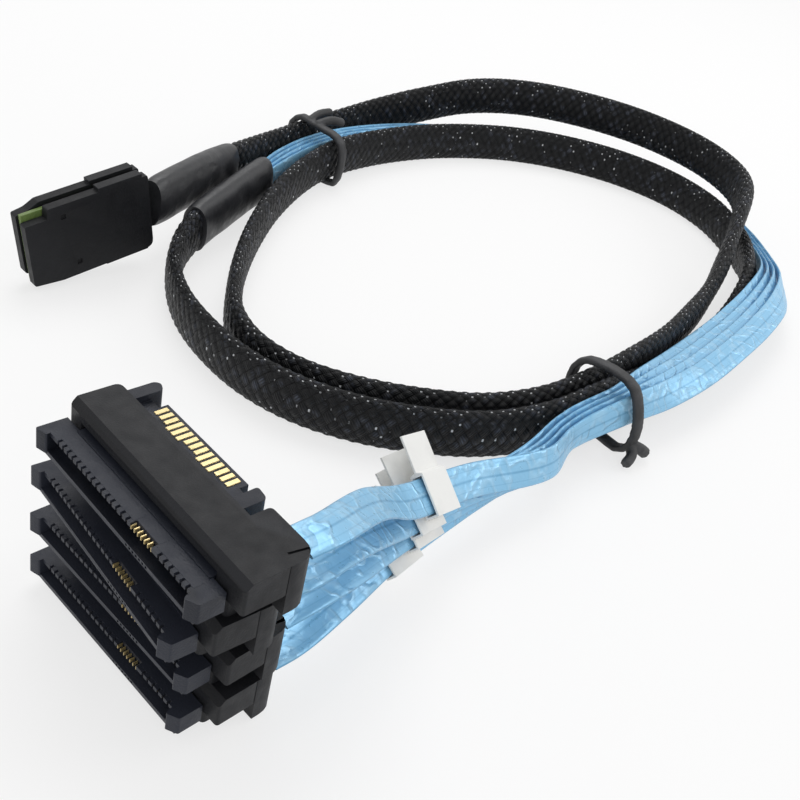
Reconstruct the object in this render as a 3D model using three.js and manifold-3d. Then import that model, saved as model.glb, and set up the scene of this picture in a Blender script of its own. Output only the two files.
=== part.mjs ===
// Mini SAS breakout cable: one 36-way plug, a flat braided sleeve lying in about two turns,
// four flat ribbons and four 29-way drive connectors stacked on the table.
// Millimetres, +Z up. The origin is on the table under the middle of the lowest connector.
import * as THREE from "three";
import { mergeVertices } from "three/addons/utils/BufferGeometryUtils.js";
import Module from "manifold-3d";

const CLEAR = 0.3; // gap between pieces that touch on the real object

// Drive connector, in its own frame: x to the right, y to the back, z up from its underside
const BODY_W = 42.4;
const BODY_D = 7.9;
const BODY_H = 9.7;
const BODY_LIP = 4.5; // underside of the full-width upper body
const KEEL_X0 = -18.2;
const KEEL_X1 = 17.2;
const STACK_PITCH = BODY_H + CLEAR;
const CHANNEL_X0 = -18.0;
const CHANNEL_X1 = 15.4;
const CHANNEL_Z0 = 2.2;
const CHANNEL_Z1 = 7.4;
const EXIT_X0 = 11.1; // cable exit block behind the right-hand side
const EXIT_DEPTH = 3.4;
const CONTACT_PITCH = 1.27;
const SIGNAL_PITCH = 0.8;

// Receptacle for a 29-way drive edge
const REC_X0 = -21.2;
const REC_X1 = 18.1;
const REC_Z0 = 2.4;
const REC_Z1 = 6.3;
const REC_FRONT = -8.45;
const MOUTH_X0 = -19.2;
const MOUTH_X1 = 15.8;
const MOUTH_Z0 = 3.2;
const MOUTH_Z1 = 5.6;
const MOUTH_DEPTH = 5.2;
const BRIDGE_X0 = 1.7;
const BRIDGE_X1 = 6.8;

// Power plug on the back
const PLUG_X0 = -20.3;
const PLUG_X1 = 8.8;
const PLUG_Z0 = 1.7;
const PLUG_Z1 = 8.7;
const TONGUE_X0 = -16.0;
const TONGUE_X1 = 4.2;
const TONGUE_Z = 7.45;

// 36-way plug, in its own frame: x through its thickness, y from nose to back, z across
const MS_LENGTH = 30.6;
const MS_WIDTH = 19.0;
const MS_THICK = 6.2;
const MS_SHELL = 1.6;
const MS_BLOCK = 12.6; // length of the raised rear block
const MS_CARD_T = 1.0;
const MS_CARD_W = 16.9;
const MS_AT = new THREE.Vector3(-100.6, 29.1, 10.3);
const MS_TILT = 9;
const MS_YAW = 1.2;

// Cable
const SLEEVE_W = 11.8;
const SLEEVE_T = 4.6;
const SHRINK_W = 12.6;
const SHRINK_T = 6.4;
const RIBBON_W = 6.4;
const RIBBON_T = 0.9;
const RIBBON_STEP = RIBBON_T + 2.2 * CLEAR;
const LABEL_T = 0.4;
const LABEL_L = 8;
const TIE_W = 2.4;
const TIE_T = 1.2;

const wasm = await Module();
wasm.setup();

function solid(geometry) {
  const bare = new THREE.BufferGeometry();
  const flat = geometry.index ? geometry.toNonIndexed() : geometry;
  bare.setAttribute("position", flat.getAttribute("position"));
  const merged = mergeVertices(bare, 1e-4);
  return new wasm.Manifold(
    new wasm.Mesh({
      numProp: 3,
      vertProperties: merged.attributes.position.array,
      triVerts: new Uint32Array(merged.index.array),
    }),
  );
}

function box(x0, x1, y0, y1, z0, z1) {
  const g = new THREE.BoxGeometry(x1 - x0, y1 - y0, z1 - z0);
  return solid(g.translate((x0 + x1) / 2, (y0 + y1) / 2, (z0 + z1) / 2));
}

// A plan outline [x, y, corner radius] raised from z0 to z1.
function slab(corners, z0, z1, segments = 5) {
  const shape = new THREE.Shape();
  corners.forEach(([x, y, r = 0], i) => {
    const p = new THREE.Vector2(x, y);
    const [ax, ay] = corners.at(i - 1);
    const [bx, by] = corners[(i + 1) % corners.length];
    const a = new THREE.Vector2(ax, ay).sub(p).setLength(r).add(p);
    const b = new THREE.Vector2(bx, by).sub(p).setLength(r).add(p);
    if (i === 0) shape.moveTo(a.x, a.y);
    else shape.lineTo(a.x, a.y);
    if (r > 0) shape.quadraticCurveTo(p.x, p.y, b.x, b.y);
  });
  shape.closePath();
  const g = new THREE.ExtrudeGeometry(shape, {
    depth: z1 - z0,
    bevelEnabled: false,
    curveSegments: segments,
  });
  return solid(g.translate(0, 0, z0));
}

// The same, with the outline given as [y, z, r] and raised along x.
function slabX(corners, x0, x1, segments = 4) {
  const m = slab(corners, x0, x1, segments);
  return m.transform([0, 1, 0, 0, 0, 0, 1, 0, 1, 0, 0, 0, 0, 0, 0, 1]);
}

function geometryOf(manifold) {
  const mesh = manifold.getMesh();
  const g = new THREE.BufferGeometry();
  g.setAttribute("position", new THREE.BufferAttribute(mesh.vertProperties, 3));
  g.setIndex(new THREE.BufferAttribute(mesh.triVerts, 1));
  return g;
}

const group = new THREE.Group();
group.name = "mini_sas_breakout_cable";

function add(name, geometry, colour, place, metalness = 0) {
  const material = new THREE.MeshStandardMaterial({ color: colour, roughness: 0.7, metalness });
  const mesh = new THREE.Mesh(geometry, material);
  mesh.name = name;
  if (place) mesh.applyMatrix4(place);
  mesh.geometry.computeVertexNormals();
  group.add(mesh);
}

const MOULDING = 0x2f3033;
const INSULATOR = 0x3a3f4c;
const BRAID = 0x1b1c1f;
const SHRINK = 0x35363a;
const FOIL = 0x6ba4c8;
const PAPER = 0xf2f2ee;
const BOARD = 0x4f8a4a;
const RUBBER = 0x3a3a3c;

// Moulded shell of one drive connector, open from front to back for the inserts
function overmould() {
  const w = BODY_W / 2;
  const d = BODY_D / 2;
  const upper = slab([[-w, -d, 0.6], [w, -d, 0.6], [w, d, 1.6], [-w, d, 1.2]], BODY_LIP, BODY_H);
  const keel = slab([[KEEL_X0, -d + 0.8, 1], [KEEL_X1, -d + 0.8, 1], [KEEL_X1, d, 0.5],
    [KEEL_X0, d, 0.5]], 0, BODY_LIP + 0.5);
  const exit = slab([[EXIT_X0, d - 1], [w, d - 1], [w, d + EXIT_DEPTH, 3],
    [EXIT_X0, d + EXIT_DEPTH, 0.8]], 0.8, BODY_H);
  const bevel = slabX([[-d - 1, BODY_H + 1], [-d - 1, BODY_H - 2.1], [-d + 2.1, BODY_H + 1]],
    -w - 1, w + 1);
  const groove = slab([[w - 2.3, d], [w - 1.9, d], [w - 1.3, d + 3], [w - 1.7, d + 3]],
    BODY_H - 0.3, BODY_H + 1);
  const channel = box(CHANNEL_X0, CHANNEL_X1, -d - 1, d + 1, CHANNEL_Z0, CHANNEL_Z1);
  const block = box(EXIT_X0, CHANNEL_X1 + 1, d - 1.2, d + EXIT_DEPTH - 1, CHANNEL_Z0 - 0.5,
    CHANNEL_Z1 + 0.5);
  return upper.add(keel).subtract(channel).add(exit.intersect(block.add(exit))).subtract(bevel)
    .subtract(groove);
}

// Receptacle: mouth, guide arms, contact slots, a bridge with its own window
function receptacle() {
  const back = -BODY_D / 2 - CLEAR;
  const wall = REC_FRONT + 0.5;
  let r = box(REC_X0, REC_X1, wall, back, REC_Z0 + 0.6, REC_Z1);
  r = r.add(box(REC_X0 + 0.6, REC_X1 - 0.6, REC_FRONT, back, REC_Z0, MOUTH_Z0));
  r = r.add(slab([[REC_X0, REC_FRONT - 0.8, 0.4], [MOUTH_X0, REC_FRONT - 0.2, 0.3],
    [MOUTH_X0, back, 0], [REC_X0, back, 0]], REC_Z0 + 0.4, REC_Z1));
  r = r.add(slab([[MOUTH_X1, REC_FRONT - 0.2, 0.3], [REC_X1 - 1.9, REC_FRONT - 0.8, 0.3],
    [REC_X1, REC_FRONT + 0.2, 0.3], [REC_X1, back, 0], [MOUTH_X1, back, 0]], REC_Z0 + 0.4, REC_Z1));
  r = r.add(box(CHANNEL_X0 + CLEAR, CHANNEL_X1 - CLEAR, back - 0.5, -0.9, CHANNEL_Z0 + CLEAR,
    CHANNEL_Z1 - 0.9));
  r = r.subtract(box(MOUTH_X0, MOUTH_X1, REC_FRONT - 2, REC_FRONT + MOUTH_DEPTH, MOUTH_Z0,
    MOUTH_Z1));
  const left = -BODY_W / 2;
  for (let i = 0; i < 15; i += 1) {
    const x = left + 4.2 + i * CONTACT_PITCH;
    r = r.subtract(box(x - 0.22, x + 0.22, wall - 1, wall + 2.6, MOUTH_Z1 - 0.2, REC_Z1 + 1));
  }
  for (let i = 0; i < 6; i += 1) {
    const x = left + 29.62 + i * CONTACT_PITCH;
    r = r.subtract(box(x - 0.22, x + 0.22, wall - 1, wall + 2.6, MOUTH_Z1 - 0.2, REC_Z1 + 1));
  }
  r = r.subtract(box(BRIDGE_X0, BRIDGE_X1, wall - 1, wall + 1.7, MOUTH_Z1 - 0.2, REC_Z1 + 1));
  for (let i = 0; i < 7; i += 1) {
    const x = (BRIDGE_X0 + BRIDGE_X1) / 2 + (i - 3) * SIGNAL_PITCH;
    r = r.subtract(box(x - 0.2, x + 0.2, REC_FRONT - 1, REC_FRONT + 0.6, REC_Z0 + 0.2, REC_Z0 + 0.6));
  }
  return r;
}

// Power plug: contact tongue with its pads, two guide bars, a floor that joins them
function powerPlug() {
  const back = BODY_D / 2 + CLEAR;
  let p = box(TONGUE_X0, TONGUE_X1, back, 8.95, TONGUE_Z - 2.2, TONGUE_Z);
  p = p.add(slab([[PLUG_X0, back], [PLUG_X0 + 2.3, back], [PLUG_X0 + 2.3, 9.3, 0.6],
    [PLUG_X0 + 0.8, 9.9, 0.5], [PLUG_X0, 9.2, 0.5]], PLUG_Z0, PLUG_Z1));
  p = p.add(slab([[PLUG_X1 - 2.6, back], [PLUG_X1, back], [PLUG_X1, 8.6, 0.9],
    [PLUG_X1 - 2.6, 8.9, 0.6]], PLUG_Z0, PLUG_Z1));
  p = p.add(box(PLUG_X0 + 1, PLUG_X1 - 1, back, 8.4, PLUG_Z0, PLUG_Z0 + 1.4));
  p = p.add(box(PLUG_X0, PLUG_X1, back, 7.4, PLUG_Z0, TONGUE_Z));
  p = p.subtract(box(TONGUE_X0 - 0.1, TONGUE_X1 + 0.1, 5.2, 9.5, PLUG_Z0 + 1.4, TONGUE_Z - 2.2));
  p = p.add(box(CHANNEL_X0 + CLEAR, PLUG_X1 - 1.5, 0.9, back + 0.5, CHANNEL_Z0 + CLEAR,
    CHANNEL_Z1 - CLEAR));
  for (let i = 0; i < 15; i += 1) {
    const x = -BODY_W / 2 + 6.26 + i * CONTACT_PITCH;
    const long = (i > 2 && i < 6) || (i > 8 && i < 12);
    p = p.add(box(x - 0.42, x + 0.42, long ? 5.6 : 6.1, 8.3, TONGUE_Z - 0.5, TONGUE_Z + 0.12));
  }
  return p;
}

function adapterBoard() {
  return box(CHANNEL_X0 + 0.6, CHANNEL_X1 - 0.6, -0.5, 0.5, CHANNEL_Z0 + 0.4, CHANNEL_Z1 - 0.4);
}

// Bottom to top: x, y of the body centre on the table and the turn of each connector
const STACK = [
  [0, 0, 2.31],
  [0.82, -0.31, 2.71],
  [2.28, -2.45, -2.82],
  [5.2, -2.35, 0],
];
const DEG = Math.PI / 180;
const stackPlace = STACK.map(([x, y, turn], i) =>
  new THREE.Matrix4().makeRotationZ(turn * DEG).setPosition(x, y, i * STACK_PITCH),
);
stackPlace.forEach((place, i) => {
  const n = 4 - i;
  add("overmould_" + n, geometryOf(overmould()), MOULDING, place);
  add("receptacle_" + n, geometryOf(receptacle()), INSULATOR, place);
  add("power_plug_" + n, geometryOf(powerPlug()), INSULATOR, place);
  add("adapter_board_" + n, geometryOf(adapterBoard()), BOARD, place);
});

// 36-way plug
const msPlace = new THREE.Matrix4()
  .makeRotationZ(MS_YAW * DEG)
  .multiply(new THREE.Matrix4().makeRotationX(MS_TILT * DEG))
  .setPosition(MS_AT);
const mw = MS_WIDTH / 2;
const mt = MS_THICK / 2;

// One half shell, side = 1 for the half on +x
function halfShell(side) {
  const inner = side * (MS_CARD_T / 2 + CLEAR);
  const outer = side * mt;
  const x0 = Math.min(inner, outer);
  const x1 = Math.max(inner, outer);
  const face = side > 0
    ? [[0, -mw + 1, 0.6], [7, -mw, 0.3], [MS_LENGTH, -mw, 2], [MS_LENGTH, mw, 0.6],
      [5.6, mw, 0.3], [5.2, mw - 2.4, 0.3], [0, mw - 2.4, 0.4]]
    : [[0, -mw + 2.5, 0.6], [6, -mw, 0.3], [MS_LENGTH, -mw, 2], [MS_LENGTH, mw, 0.6],
      [5.6, mw, 0.3], [3, mw - 1.2, 0.6], [0, mw - 1.6, 0.4]];
  let s = slabX(face, x0, x1);
  const y0 = MS_LENGTH - MS_BLOCK;
  const wall = MS_SHELL;
  for (const z of [-1, 1]) {
    const edge = z > 0 ? mw + 0.9 : -mw - 0.2;
    const root = z * (mw - wall);
    const a = Math.min(edge, root);
    const b = Math.max(edge, root);
    s = s.add(box(x0, x1, y0, MS_LENGTH - 1.5, a, b));
  }
  if (side > 0) {
    for (const [y, z] of [[9, mw - 3], [11.4, -mw + 3.4]]) {
      s = s.subtract(box(mt - 0.4, mt + 1, y - 0.6, y + 0.6, z - 0.6, z + 0.6));
    }
  }
  return s;
}
add("plug_shell_near", geometryOf(halfShell(1)), MOULDING, msPlace);
add("plug_shell_far", geometryOf(halfShell(-1)), MOULDING, msPlace);
add("paddle_card", geometryOf(box(-MS_CARD_T / 2, MS_CARD_T / 2, 0.5, MS_LENGTH - 2,
  -MS_CARD_W / 2, MS_CARD_W / 2)), BOARD, msPlace);
const latch = slabX([[3, -4.5, 0.6], [MS_LENGTH - 6, -4.5, 0.6], [MS_LENGTH - 6, 4.5, 0.6],
  [3, 4.5, 0.6]], -mt - CLEAR - 0.6, -mt - CLEAR);
const hooks = box(-mt - CLEAR - 1.5, -mt - CLEAR - 0.1, 3.2, 4.6, -4, -2)
  .add(box(-mt - CLEAR - 1.5, -mt - CLEAR - 0.1, 3.2, 4.6, 2, 4));
add("plug_latch", geometryOf(latch.add(hooks)), 0xb9bcc0, msPlace, 1);

// Sleeve route: the first turn comes from the plug, the second lies on the table.
// Each row is x, y, the height of the middle and the lean from upright in degrees.
const SLEEVE = [
  [-101.6, 61.4, 15.0],
  [-105.2, 69.5, 14.9],
  [-110.4, 80.5, 14.2],
  [-115.8, 91.8, 12.8],
  [-121, 104, 11.3],
  [-126, 117, 9.9],
  [-130.6, 132.3, 9.2],
  [-133.5, 147.2, 9.3],
  [-134.3, 163, 10.7],
  [-131.8, 179, 13.4],
  [-126.7, 196, 16.6],
  [-117.5, 211.5, 18.2],
  [-103.5, 226.3, 18.4],
  [-85, 236.5, 18.4],
  [-65, 239, 18.4],
  [-49, 234.2, 18.4],
  [-38.6, 225.4, 18.2],
  [-32, 214, 16.0],
  [-26.6, 203, 12.2],
  [-21.2, 191, 8.6],
  [-16.5, 178, 6.5],
  [-12.3, 163, 6.2],
  [-8.8, 148, 6.6],
  [-6.3, 131, 7.4],
  [-4.9, 114, 7.7],
  [-6.2, 98.5, 6.8],
  [-10.9, 85.8, 6.1],
  [-19.2, 74, 6.0],
  [-28.8, 64.3, 6.0],
  [-39.2, 58, 6.0],
  [-50.5, 55.8, 6.0],
  [-61.4, 58.4, 6.0],
  [-73, 66.4, 6.0],
  [-84.3, 76.8, 6.0],
  [-95.6, 89.4, 6.0],
  [-105.8, 103.2, 6.4],
  [-113.4, 117.5, 7.2],
  [-118.6, 132, 7.7],
  [-122, 150, 6.8],
  [-122, 172, 6.0],
  [-117.5, 189, 6.0],
  [-110.2, 204.5, 6.0],
  [-99, 218, 6.0],
  [-84, 228.5, 6.0],
  [-67, 233.4, 6.0],
  [-51, 231.7, 6.0],
  [-38.6, 225.6, 6.0],
  [-28.0, 217.4, 6.0, 6],
  [-18.4, 206.6, 5.7, 28],
  [-10.6, 192.8, 4.4, 58],
  [-5.8, 177, 3.2, 74],
  [-2.8, 160.5, 2.9, 77],
  [-0.6, 143.5, 3.4, 70],
  [0.6, 127, 5.4, 48],
  [0.8, 112, 7.3, 22],
  [-0.9, 96.5, 6.9, 8],
  [-5.8, 82.6, 6.1],
  [-13.8, 70.4, 6.0],
  [-23.8, 60.4, 6.0],
  [-34.8, 53.6, 6.0],
  [-47, 50.1, 6.0],
  [-60, 49.8, 6.0],
  [-72.5, 52, 6.0],
  [-84, 57.2, 6.1],
  [-92.6, 64.4, 6.8],
  [-98.2, 72.2, 7.8],
];
const SPLIT = [[-99.7, 74.8, 8.1], [-106.2, 88.6, 8.8], [-113.4, 104, 9.3]];
const TIE_ONE_AT = 37;
const TIE_TWO_AT = 54;

const routeOf = (rows) =>
  new THREE.CatmullRomCurve3(rows.map(([x, y, z]) => new THREE.Vector3(x, y, z)), false,
    "centripetal");

// A section [across, up] swept along a route. lean(u) tips its upright toward the inside.
function sweep(route, steps, section, from = 0, to = 1, lean = () => 0) {
  const ring = section.length;
  const position = [];
  const index = [];
  for (let i = 0; i <= steps; i += 1) {
    const u = Math.min(from + ((to - from) * i) / steps, 1);
    const at = route.getPointAt(u);
    const along = route.getTangentAt(u);
    const out = new THREE.Vector3(along.y, -along.x, 0).normalize();
    const up = new THREE.Vector3().crossVectors(out, along).normalize();
    const a = lean(u) * DEG;
    for (const [s, t] of section) {
      const side = s * Math.cos(a) + t * Math.sin(a);
      const rise = t * Math.cos(a) - s * Math.sin(a);
      const p = at.clone().addScaledVector(out, side).addScaledVector(up, rise);
      position.push(p.x, p.y, p.z);
    }
    if (i === steps) break;
    for (let k = 0; k < ring; k += 1) {
      const p = i * ring + k;
      const q = i * ring + ((k + 1) % ring);
      index.push(p, q + ring, q, p, p + ring, q + ring);
    }
  }
  const last = steps * ring;
  for (let k = 1; k < ring - 1; k += 1) {
    index.push(0, k, k + 1, last, last + k + 1, last + k);
  }
  const g = new THREE.BufferGeometry();
  g.setAttribute("position", new THREE.Float32BufferAttribute(position, 3));
  g.setIndex(index);
  return g;
}

function oval(thick, wide, count, power = 1) {
  return Array.from({ length: count }, (_, k) => {
    const a = ((k + 0.5) / count) * 2 * Math.PI;
    const c = Math.cos(a);
    const s = Math.sin(a);
    return [(Math.sign(c) * Math.abs(c) ** power * thick) / 2,
      (Math.sign(s) * Math.abs(s) ** power * wide) / 2];
  });
}

function leanOf(rows) {
  const route = routeOf(rows);
  const total = route.getLength();
  const marks = rows.map((row, i) => {
    const u = i / (rows.length - 1);
    return [route.getLengths(400)[Math.round(u * 400)] / total, row[3] ?? 0];
  });
  return (u) => {
    let i = 1;
    while (i < marks.length - 1 && marks[i][0] < u) i += 1;
    const [u0, a] = marks[i - 1];
    const [u1, b] = marks[i];
    return a + (b - a) * Math.min(Math.max((u - u0) / (u1 - u0), 0), 1);
  };
}

const sleeve = routeOf(SLEEVE);
const sleeveLean = leanOf(SLEEVE);
const sleeveLength = sleeve.getLength();
const SHRINK_ONE = 37;
add("heat_shrink_plug", sweep(sleeve, 4, oval(SHRINK_T, SHRINK_W, 12, 0.85), 0,
  SHRINK_ONE / sleeveLength), SHRINK);
add("braided_sleeve", sweep(sleeve, 76, oval(SLEEVE_T, SLEEVE_W, 12, 0.9),
  (SHRINK_ONE + CLEAR) / sleeveLength, 1, sleeveLean), BRAID);
add("heat_shrink_split", sweep(routeOf(SPLIT), 4, oval(SHRINK_T, SHRINK_W - 0.2, 12, 0.85)),
  SHRINK);

// Ribbons: out of the split shrink, along the outside of the second turn, over its lower
// part to tie two, then up to the connectors. Ribbon 1 goes to the top connector.
// Beside the sleeve they lean as it does: row of the sleeve, how far ribbon 4 sits along the
// broad side from its middle, and the step to the next ribbon
const RIBBON_FIRST = 36;
const RIBBON_BESIDE = [
  [2.2, 0], [1.1, 0], [0.6, 0], [-0.4, 0], [-1.6, 0], [-2.2, 0], [-2.4, 0], [-2.4, 0], [-2.4, 0],
  [-2.4, 0], [-2.0, 0], [-1.0, -0.4], [0.6, -1.0], [1.8, -1.8], [2.4, -2.4], [2.6, -2.6],
  [2.6, -2.4], [2.4, -1.5], [2.0, -0.3], [1.6, 0],
];
// Then to the stack: x, y, height and lean of ribbon 4, and the step to the next ribbon
const RIBBON_FREE = [
  [5.2, 82, 7.8, 28, 1.75, 1.0],
  [7.2, 60, 7.2, 44, 0.5, 2.4],
  [10.0, 40, 7.2, 56, 0.6, 4.6],
  [13.8, 25, 7.6, 72, 0.9, 7.8],
];
const EXIT_X = 16.9;
const EXIT_Z = 7.6;

function ribbonRows(k) {
  const layer = 3 - k;
  const away = SLEEVE_T / 2 + CLEAR + RIBBON_T / 2 + 0.3 + layer * RIBBON_STEP;
  const rows = RIBBON_BESIDE.map(([middle, step], i) => {
    const row = RIBBON_FIRST + i;
    const [ax, ay] = SLEEVE[row - 1];
    const [bx, by] = SLEEVE[row + 1];
    const t = new THREE.Vector2(bx - ax, by - ay).normalize();
    const [x, y, z, lean = 0] = SLEEVE[row];
    const a = lean * DEG;
    const up = middle + layer * step;
    const out = away * Math.cos(a) - up * Math.sin(a);
    const rise = away * Math.sin(a) + up * Math.cos(a);
    return [x - t.y * out, y + t.x * out, z + rise, lean];
  });
  const free = RIBBON_FREE.map(([x, y, z, lean, dx, dz]) =>
    [x + layer * dx, y, z + layer * dz, lean]);
  const [sx, sy] = SPLIT[2];
  const start = [sx - 0.4 - (layer - 1.5) * 1.2, sy + 0.7 - (layer - 1.5) * 0.5, 9.3, 0];
  const exit = new THREE.Vector3(EXIT_X, BODY_D / 2 + EXIT_DEPTH + CLEAR, EXIT_Z);
  const place = stackPlace[layer];
  const end = exit.clone().applyMatrix4(place);
  const before = exit.add(new THREE.Vector3(0, 5, 0)).applyMatrix4(place);
  return [start, ...rows, ...free, [before.x, before.y, before.z, 88], [end.x, end.y, end.z, 90]];
}

const ribbonSection = [[-0.2, -0.5], [0.2, -0.5], [0.5, -0.42], [0.5, 0.42], [0.2, 0.5],
  [-0.2, 0.5], [-0.5, 0.42], [-0.5, -0.42]].map(([s, t]) => [s * RIBBON_T, t * RIBBON_W]);
const LABEL_Y = [48, 45, 46, 41];
for (let k = 0; k < 4; k += 1) {
  const rows = ribbonRows(k);
  const route = routeOf(rows);
  const lean = leanOf(rows);
  add("ribbon_" + (k + 1), sweep(route, 52, ribbonSection, 0, 1, lean), FOIL);

  // A paper label folded round the ribbon, its two leaves stuck together as a flag
  let u = 1;
  while (route.getPointAt(u).y < LABEL_Y[k]) u -= 0.002;
  const along = route.getTangentAt(u);
  const side = new THREE.Vector3(along.y, -along.x, 0).normalize();
  const up = new THREE.Vector3().crossVectors(side, along).normalize();
  const a = lean(u) * DEG;
  const across = up.clone().multiplyScalar(Math.cos(a)).addScaledVector(side, Math.sin(a));
  const face = new THREE.Vector3().crossVectors(across, along);
  const place = new THREE.Matrix4().makeBasis(across, face, along.clone().negate())
    .setPosition(route.getPointAt(u));
  const h = RIBBON_W / 2 + CLEAR;
  const n = RIBBON_T / 2 + 1.6 * CLEAR;
  const w = LABEL_T;
  const outer = slab([[-h - w, -n - w], [h + w, -n - w, 0.3], [h + w + 0.4, -w / 2],
    [h + 7.5, -w / 2], [h + 7.5, w / 2], [h + w + 0.4, w / 2], [h + w, n + w, 0.3],
    [-h - w, n + w]], -LABEL_L / 2, LABEL_L / 2);
  const hole = box(-h, h, -n, n, -6, 6);
  add("label_" + (k + 1), geometryOf(outer.subtract(hole)), PAPER, place);
}

// A tie round the bundle at one row of the sleeve route. Points are distance out, height.
function hoop(at, points, tails) {
  const [ax, ay] = SLEEVE[at - 1];
  const [bx, by] = SLEEVE[at + 1];
  const along = new THREE.Vector3(bx - ax, by - ay, 0).normalize();
  const out = new THREE.Vector3(-along.y, along.x, 0);
  const foot = new THREE.Vector3(SLEEVE[at][0], SLEEVE[at][1], 0);
  const spot = ([s, z, y = 0]) =>
    foot.clone().addScaledVector(out, s).addScaledVector(along, y).setZ(z);
  const path = new THREE.CatmullRomCurve3(points.map(spot), true, "centripetal");
  const centre = spot([points.reduce((sum, p) => sum + p[0], 0) / points.length, 7]);
  const count = 28;
  const position = [];
  const index = [];
  for (let i = 0; i < count; i += 1) {
    const p = path.getPointAt(i / count);
    const t = path.getTangentAt(i / count);
    const radial = new THREE.Vector3().crossVectors(t, along).normalize();
    if (radial.dot(p.clone().sub(centre)) < 0) radial.negate();
    for (const [r, y] of [[-0.5, -0.5], [0.3, -0.5], [0.5, -0.2], [0.5, 0.2], [0.3, 0.5],
      [-0.5, 0.5]]) {
      const q = p.clone().addScaledVector(radial, r * TIE_T).addScaledVector(along, y * TIE_W);
      position.push(q.x, q.y, q.z);
    }
    for (let k = 0; k < 6; k += 1) {
      const a = i * 6 + k;
      const b = i * 6 + ((k + 1) % 6);
      const c = ((i + 1) % count) * 6;
      index.push(a, b, c + ((k + 1) % 6), a, c + ((k + 1) % 6), c + k);
    }
  }
  const g = new THREE.BufferGeometry();
  g.setAttribute("position", new THREE.Float32BufferAttribute(position, 3));
  g.setIndex(index);
  let ring = solid(g);
  if (ring.volume() < 0) {
    for (let i = 0; i < index.length; i += 3) {
      [index[i], index[i + 1]] = [index[i + 1], index[i]];
    }
    g.setIndex(index);
    ring = solid(g);
  }
  for (const tail of tails) {
    const route = new THREE.CatmullRomCurve3(tail.map(spot), false, "centripetal");
    ring = ring.add(solid(sweep(route, 6, oval(2.0, 2.4, 8))));
  }
  return ring;
}
add("tie_1", geometryOf(hoop(TIE_ONE_AT, [[-3.4, 3], [-3.4, 12.5], [-1, 14.9], [4, 15.6],
  [8, 16], [11.6, 16.4], [14.6, 14], [15, 9], [14, 4], [11, 1.2], [5, 0.85], [0, 0.85],
  [-2.6, 1.2]], [[[9, 16, 0], [9, 17, 4], [8.4, 16.8, 9]],
  [[6.4, 15.8, 0], [4.6, 16.8, 4], [3, 15.8, 8]]])), RUBBER);
add("tie_2", geometryOf(hoop(TIE_TWO_AT, [[-9.4, 3], [-9.6, 12], [-7.2, 15.2], [-3, 16.6],
  [1.4, 17.2], [5.8, 16.6], [8.8, 12.6], [10.4, 7.2], [9.8, 3.2], [7.4, 1], [3, 0.85], [-2, 0.85],
  [-6, 0.85], [-8.8, 1.2]], [[[10, 4, 0], [11.8, 2.6, 0.8], [12.6, 1.6, 3.4]],
  [[10, 4, 0], [11.6, 3.4, -1.6], [12, 1.6, -4]]])), RUBBER);

export default group;
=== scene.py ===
import math
import bmesh
import bpy
import numpy as np
from mathutils import Matrix, Vector, noise


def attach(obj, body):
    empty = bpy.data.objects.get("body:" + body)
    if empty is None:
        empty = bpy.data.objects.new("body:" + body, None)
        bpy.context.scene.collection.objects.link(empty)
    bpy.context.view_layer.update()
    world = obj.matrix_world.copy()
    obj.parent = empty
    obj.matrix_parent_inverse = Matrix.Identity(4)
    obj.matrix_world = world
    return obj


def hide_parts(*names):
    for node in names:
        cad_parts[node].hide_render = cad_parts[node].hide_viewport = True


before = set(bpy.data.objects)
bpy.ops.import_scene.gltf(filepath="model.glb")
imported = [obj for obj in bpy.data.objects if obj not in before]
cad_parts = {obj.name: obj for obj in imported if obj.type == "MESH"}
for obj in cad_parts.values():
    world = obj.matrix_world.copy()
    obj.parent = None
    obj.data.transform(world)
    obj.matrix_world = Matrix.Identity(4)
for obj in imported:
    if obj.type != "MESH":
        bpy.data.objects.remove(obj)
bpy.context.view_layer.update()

# The frame is in metres. Sizes and places below are in millimetres, apart from the stage's, and MM turns
# them into metres.
MM = 0.001

CAMERA_AT = (93.35, -67.89, 136.05)
CAMERA_RIGHT = (0.6598, 0.7253, 0.1966)
CAMERA_UP = (-0.5432, 0.2796, 0.7917)
CAMERA_BACK = (0.5192, -0.6292, 0.5785)
CAMERA_LENS = 48.35

# The stage, in metres: what the lamps face, how far the floor reaches, and each lamp's name, place, size
# and watts.
SCENE_MIDDLE = Vector((-0.03, 0.11, 0.01))
FLOOR_REACH = 2.5
LAMPS = (
    ("key", (-0.35, 0.3, 0.7), 0.5, 2.4),
    ("fill", (0.5, -0.3, 0.45), 0.5, 1.0),
    ("rim", (0.25, 0.6, 0.4), 0.3, 0.8),
)
# The share of plain white in what the camera sees of the floor, and the world's strength as a light.
FLOOR_GLOW = 0.7
WORLD_STRENGTH = 0.55

# The connectors from the bottom one up: where each stands, and how far it is turned in degrees.
STACK = [(0, 0, 2.31), (0.82, -0.31, 2.71), (2.28, -2.45, -2.82), (5.2, -2.35, 0)]
STACK_PITCH = 10.0
COUNT = len(STACK)

# The widths and thicknesses of the sleeve, the shrink tubes and the ribbons. SHRINK_ONE is the length of
# the tube at the plug, RIBBON_STEP the distance from ribbon to ribbon, and CLEAR the room beside them.
SLEEVE_W = 11.8
SLEEVE_T = 4.6
SHRINK_W = 12.6
SHRINK_T = 6.4
SHRINK_ONE = 37.0
RIBBON_W = 6.4
RIBBON_T = 0.9
RIBBON_STEP = 1.56
CLEAR = 0.3

# The sections' corners: 1 is an ellipse and smaller is squarer.
SLEEVE_POWER = 0.9
SHRINK_POWER = 0.85
RIBBON_POWER = 0.7

# The braid: the length of a weave cell, cells round the sleeve, depth, and filaments in a band.
WEAVE_PITCH = 2.7
WEAVE_CELLS = 10
WEAVE_DEPTH = 0.38
FILAMENTS = 4
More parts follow.
